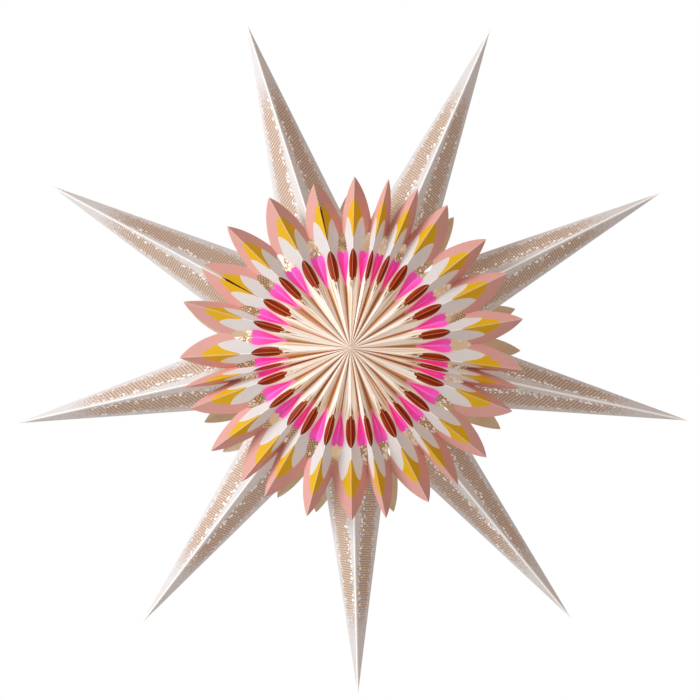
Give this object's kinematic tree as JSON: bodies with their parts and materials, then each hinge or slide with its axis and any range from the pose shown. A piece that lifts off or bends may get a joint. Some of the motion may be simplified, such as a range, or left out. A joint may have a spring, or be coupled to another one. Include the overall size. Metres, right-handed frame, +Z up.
{
  "type": "paper star lantern",
  "caption": "Hanging folded-paper star lantern shade with long hollow points and pleated die-cut petal rings front and back.",
  "frame": {"origin": "on the star's axis, at its middle plane, which is about its centroid", "axes": "+Y along the star's axis towards its back, so its front faces -Y; +Z up as it hangs; +X to the right seen from the front"},
  "size_m": [0.7858, 0.198, 0.7853],
  "materials": {
    "point_paper": "matte white paper with a tan lace-like print",
    "petal_paper": "matte cream paper with printed pink, yellow, white and magenta fields",
    "under_paper": "matte paper printed dark red",
    "card": "matte white card",
    "brass": "bright",
    "clip_steel": "satin"
  },
  "bodies": {
    "root": {"point_1": "point_paper", "point_2": "point_paper", "point_3": "point_paper", "point_4": "point_paper", "point_5": "point_paper", "point_6": "point_paper", "point_7": "point_paper", "point_8": "point_paper", "point_9": "point_paper", "front_sheet_1": "petal_paper", "front_sheet_2": "petal_paper", "front_sheet_3": "petal_paper", "front_sheet_4": "petal_paper", "front_sheet_5": "petal_paper", "front_sheet_6": "petal_paper", "front_sheet_7": "petal_paper", "front_sheet_8": "petal_paper", "front_sheet_9": "petal_paper", "back_sheet_1": "petal_paper", "back_sheet_2": "petal_paper", "back_sheet_3": "petal_paper", "back_sheet_4": "petal_paper", "back_sheet_5": "petal_paper", "back_sheet_6": "petal_paper", "back_sheet_7": "petal_paper", "back_sheet_8": "petal_paper", "back_sheet_9": "petal_paper", "under_sheet_1": "under_paper", "under_sheet_2": "under_paper", "under_sheet_3": "under_paper", "under_sheet_4": "under_paper", "under_sheet_5": "under_paper", "under_sheet_6": "under_paper", "under_sheet_7": "under_paper", "under_sheet_8": "under_paper", "under_sheet_9": "under_paper", "end_card_left": "card", "end_card_right": "card", "hanging_eyelet": "brass", "card_clip_front": "clip_steel", "card_clip_back": "clip_steel"}
  },
  "joints": []
}
